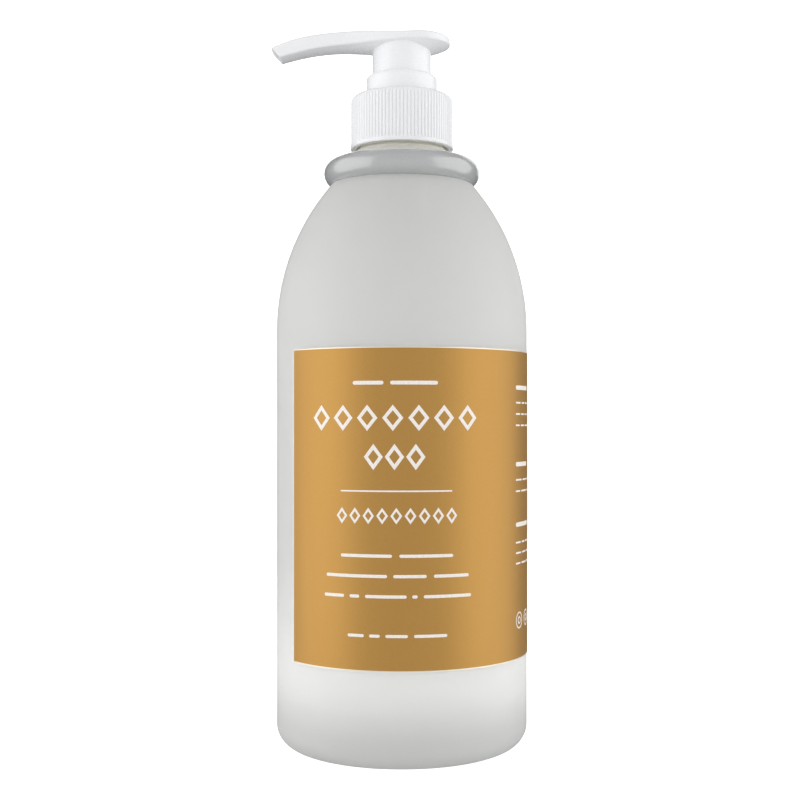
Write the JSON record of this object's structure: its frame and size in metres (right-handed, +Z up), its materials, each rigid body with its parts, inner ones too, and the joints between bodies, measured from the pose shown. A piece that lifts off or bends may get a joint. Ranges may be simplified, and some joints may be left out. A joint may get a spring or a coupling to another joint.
{
  "type": "pump bottle",
  "caption": "Round frosted oil bottle with a domed shoulder, wrap label, ribbed screw closure and a press-down lotion pump with a long curved spout.",
  "frame": {"origin": "centre of the base's contact ring, on the bottle's axis, in the plane it stands on", "axes": "+Z up along the bottle's axis; the spout points to -X at rest; the label's front faces -Y"},
  "size_m": [0.092, 0.0902, 0.2549],
  "materials": {
    "frosted_shell": "frosted translucent",
    "gold_label": "satin gold film",
    "pump_white": "semi-gloss",
    "seal_white": "matte",
    "natural_plastic": "milky translucent",
    "spring_steel": "bright wire",
    "ball_steel": "polished",
    "ball_glass": "clear"
  },
  "bodies": {
    "bottle": {"bottle": "frosted_shell", "label": "gold_label"},
    "pump_body": {"housing": "natural_plastic", "lock_collar": "pump_white", "neck_gasket": "seal_white", "dip_tube": "natural_plastic", "ball_cage": "natural_plastic", "main_spring": "spring_steel"},
    "closure": {"closure": "pump_white"},
    "piston": {"piston": "seal_white"},
    "plunger": {"actuator": "pump_white", "stem": "pump_white", "piston_retainer": "natural_plastic"},
    "inlet_ball": {"inlet_ball": "ball_steel"},
    "outlet_ball": {"outlet_ball": "ball_glass"}
  },
  "joints": [
    {"name": "pump_rise", "type": "slide", "parent": "bottle", "child": "pump_body", "axis": [0, 0, 1], "range_m": [0, 0.0056]},
    {"name": "closure_turn", "type": "hinge", "parent": "pump_body", "child": "closure", "pos_m": [0, 0, 0.2228], "axis": [0, 0, 1], "range_deg": [0, 480]},
    {"name": "head_press", "type": "slide", "parent": "pump_body", "child": "piston", "axis": [0, 0, -1], "range_m": [0, 0.007], "stiffness_N_per_m": 600, "springref_m": -0.01, "deforming": ["main_spring"]},
    {"name": "head_swivel", "type": "hinge", "parent": "piston", "child": "plunger", "pos_m": [0, 0, 0.245], "axis": [0, 0, 1], "continuous": true},
    {"name": "inlet_ball_lift", "type": "slide", "parent": "pump_body", "child": "inlet_ball", "axis": [0, 0, 1], "range_m": [0, 0.0015]},
    {"name": "outlet_ball_lift", "type": "slide", "parent": "plunger", "child": "outlet_ball", "axis": [0, 0, 1], "range_m": [0, 0.0012]}
  ],
  "couplings": [
    {"joint": "closure_turn", "follows": "pump_rise", "rad_per_m": 1496}
  ]
}
